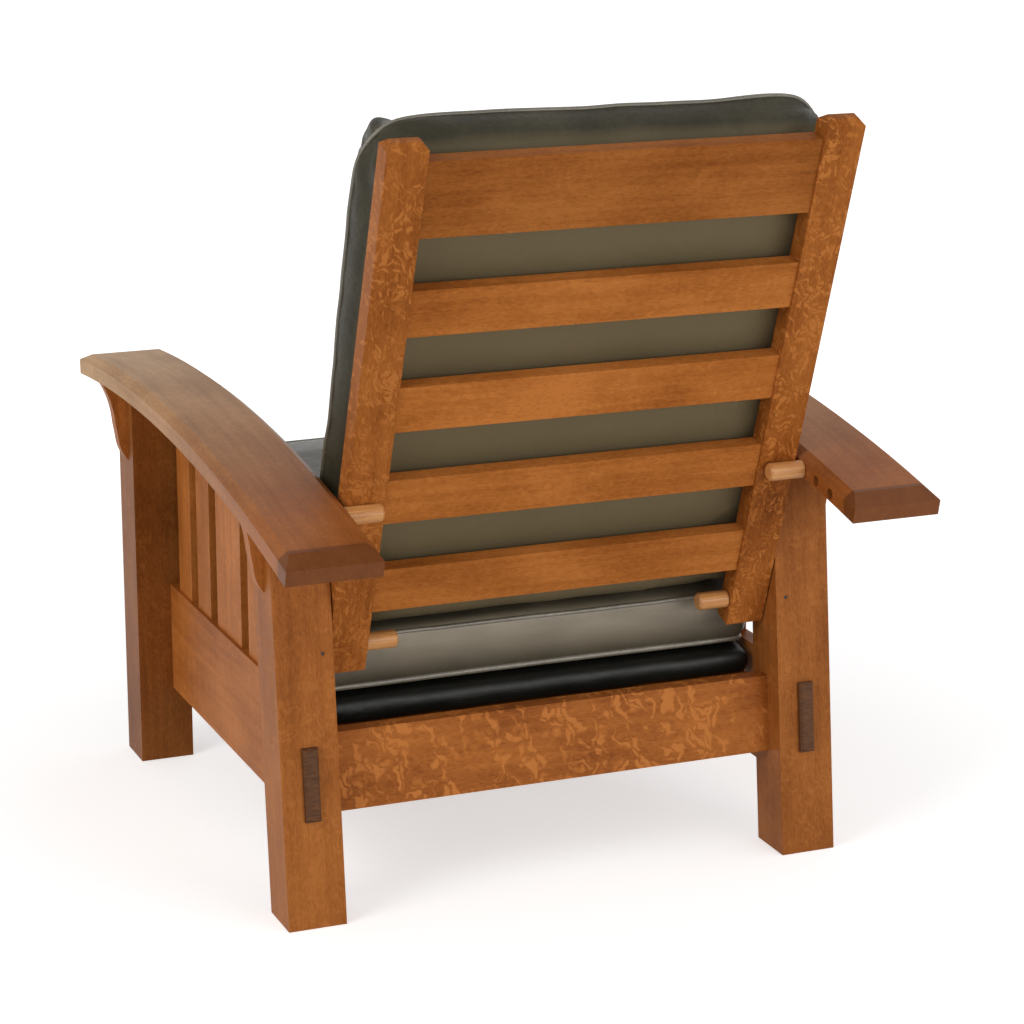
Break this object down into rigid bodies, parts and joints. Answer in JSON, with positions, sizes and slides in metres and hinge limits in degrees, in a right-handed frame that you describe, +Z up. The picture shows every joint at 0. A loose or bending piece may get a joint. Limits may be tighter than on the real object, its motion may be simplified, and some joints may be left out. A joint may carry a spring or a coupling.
{
  "type": "reclining armchair",
  "caption": "Slatted oak reclining armchair with bent arms, corbels, a hinged slatted back held by pegs, and loose leather cushions",
  "frame": {"origin": "on the floor, under the middle of the bounding box", "axes": "+X to the sitter's left, front towards -Y, +Z up"},
  "size_m": [0.857, 0.9242, 1.0113],
  "materials": {
    "oak": "satin varnish over quarter-sawn oak",
    "peg_wood": "satin varnish, lighter turned dowels",
    "end_grain": "dark end grain, satin varnish",
    "inner_wood": "plain, unvarnished",
    "steel": "darkened steel",
    "leather": "dark olive-brown, soft gloss",
    "deck_leather": "near-black, soft gloss"
  },
  "bodies": {
    "frame": {"front_leg_left": "oak", "front_leg_right": "oak", "rear_leg_left": "oak", "rear_leg_right": "oak", "arm_left": "oak", "arm_right": "oak", "side_rail_left": "oak", "side_rail_right": "oak", "side_slat_1_left": "oak", "side_slat_1_right": "oak", "side_slat_2_left": "oak", "side_slat_2_right": "oak", "side_slat_3_left": "oak", "side_slat_3_right": "oak", "side_slat_4_left": "oak", "side_slat_4_right": "oak", "side_slat_5_left": "oak", "side_slat_5_right": "oak", "front_corbel_left": "oak", "front_corbel_right": "oak", "rear_corbel_left": "oak", "rear_corbel_right": "oak", "front_tenon_cap_left": "end_grain", "front_tenon_cap_right": "end_grain", "rear_tenon_cap_left": "end_grain", "rear_tenon_cap_right": "end_grain", "pivot_pin_left": "peg_wood", "pivot_pin_right": "peg_wood", "rear_rail": "oak", "front_rail": "oak", "rear_cleat": "inner_wood", "front_cleat": "inner_wood", "cleat_screws": "steel", "pin_lock_screws": "steel", "deck_board": "inner_wood", "deck_pad": "deck_leather"},
    "back": {"back_post_left": "oak", "back_post_right": "oak", "crest_rail": "oak", "back_slat_1": "oak", "back_slat_2": "oak", "back_slat_3": "oak", "back_slat_4": "oak"},
    "back_cushion": {"back_cushion": "leather"},
    "seat_cushion": {"seat_cushion": "leather"},
    "support_peg_left": {"support_peg_left": "peg_wood"},
    "support_peg_right": {"support_peg_right": "peg_wood"}
  },
  "joints": [
    {"name": "back_recline", "type": "hinge", "parent": "frame", "child": "back", "pos_m": [0, 0.22305, 0.34], "axis": [-1, 0, 0], "range_deg": [0, 18.38]},
    {"name": "peg_shift_left", "type": "slide", "parent": "frame", "child": "support_peg_left", "axis": [0, 0.982, -0.1889], "range_m": [0, 0.0762]},
    {"name": "peg_shift_right", "type": "slide", "parent": "frame", "child": "support_peg_right", "axis": [0, 0.982, -0.1889], "range_m": [0, 0.0762]},
    {"name": "back_cushion_lift", "type": "slide", "parent": "back", "child": "back_cushion", "axis": [0, 0.3272, 0.9449], "range_m": [0, 0.6]},
    {"name": "seat_cushion_out", "type": "slide", "parent": "frame", "child": "seat_cushion", "axis": [0, -0.9866, 0.1633], "range_m": [0, 0.65]}
  ],
  "couplings": [
    {"joint": "peg_shift_left", "follows": "back_recline", "m_per_rad": 0.23742},
    {"joint": "peg_shift_right", "follows": "back_recline", "m_per_rad": 0.23742}
  ]
}
